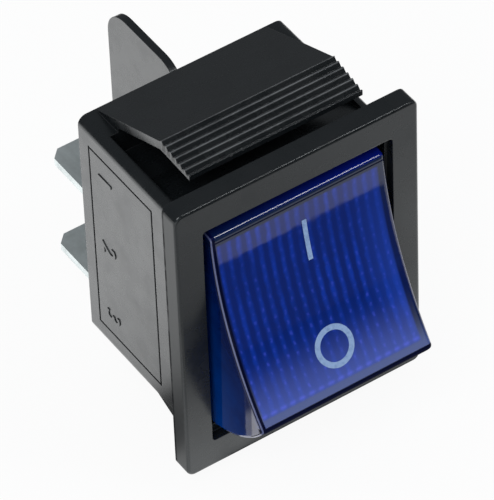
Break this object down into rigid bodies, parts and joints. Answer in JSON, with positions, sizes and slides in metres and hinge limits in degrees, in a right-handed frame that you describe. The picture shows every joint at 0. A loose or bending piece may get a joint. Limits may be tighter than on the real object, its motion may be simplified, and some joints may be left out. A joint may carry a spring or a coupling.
{
  "type": "rocker switch",
  "caption": "Panel rocker switch with a dished tinted cap, flanged bezel, ribbed snap wings, push-on terminal tabs and a see-saw contact mechanism inside.",
  "frame": {"origin": "centre of the panel cut-out, on the bezel's rear face where it meets the panel", "axes": "+Y into the panel, from the rocker to the terminals; +Z along the long side, towards the I end; +X along the rocker's pivot, to the right when seen from the front with I up"},
  "size_m": [0.025, 0.0362, 0.035],
  "materials": {
    "housing_nylon": "black moulded nylon, fine satin grain",
    "tinted_cap": "translucent deep blue polycarbonate, polished outside and ribbed inside",
    "carrier_plastic": "natural white moulded plastic",
    "lamp_glass": "clear drawn glass",
    "resistor_body": "lacquered ceramic",
    "lead_wire": "tinned wire",
    "plunger_plastic": "white slippery plastic",
    "spring_steel": "drawn spring wire",
    "contact_brass": "stamped brass strip",
    "contact_silver": "silver alloy, lightly tarnished",
    "terminal_tin": "brass with a dull bright tin plating"
  },
  "bodies": {
    "base": {"housing": "housing_nylon", "common_terminal_left": "terminal_tin", "common_terminal_right": "terminal_tin", "switched_terminal_left": "terminal_tin", "switched_terminal_right": "terminal_tin", "fixed_rivet_left": "contact_silver", "fixed_rivet_right": "contact_silver"},
    "rocker": {"rocker_cap": "tinted_cap", "carrier": "carrier_plastic", "neon_lamp": "lamp_glass", "resistor": "resistor_body", "lamp_lead": "lead_wire", "resistor_inner_lead": "lead_wire", "resistor_outer_lead": "lead_wire"},
    "plunger_set_left": {"plunger_left": "plunger_plastic", "plunger_spring_left": "spring_steel"},
    "contact_arm_left": {"moving_contact_left": "contact_brass", "moving_rivet_left": "contact_silver"},
    "plunger_set_right": {"plunger_right": "plunger_plastic", "plunger_spring_right": "spring_steel"},
    "contact_arm_right": {"moving_contact_right": "contact_brass", "moving_rivet_right": "contact_silver"}
  },
  "joints": [
    {"name": "rocker_hinge", "type": "hinge", "parent": "base", "child": "rocker", "pos_m": [0, 0.00085, 0], "axis": [1, 0, 0], "range_deg": [0, 43.2]},
    {"name": "contact_hinge_left", "type": "hinge", "parent": "base", "child": "contact_arm_left", "pos_m": [-0.0055, 0.0118, 0], "axis": [1, 0, 0], "range_deg": [-18.05, 0.05]},
    {"name": "plunger_slide_left", "type": "slide", "parent": "rocker", "child": "plunger_set_left", "axis": [0, 0.9298, -0.3681], "range_m": [-0.0006, 0], "stiffness_N_per_m": 1500, "springref_m": 0.0005},
    {"name": "contact_hinge_right", "type": "hinge", "parent": "base", "child": "contact_arm_right", "pos_m": [0.0055, 0.0118, 0], "axis": [1, 0, 0], "range_deg": [-18.05, 0.05]},
    {"name": "plunger_slide_right", "type": "slide", "parent": "rocker", "child": "plunger_set_right", "axis": [0, 0.9298, -0.3681], "range_m": [-0.0006, 0], "stiffness_N_per_m": 1500, "springref_m": 0.0005}
  ],
  "couplings": [
    {"joint": "contact_hinge_left", "follows": "rocker_hinge", "ratio": -0.41667},
    {"joint": "contact_hinge_right", "follows": "rocker_hinge", "ratio": -0.41667}
  ]
}
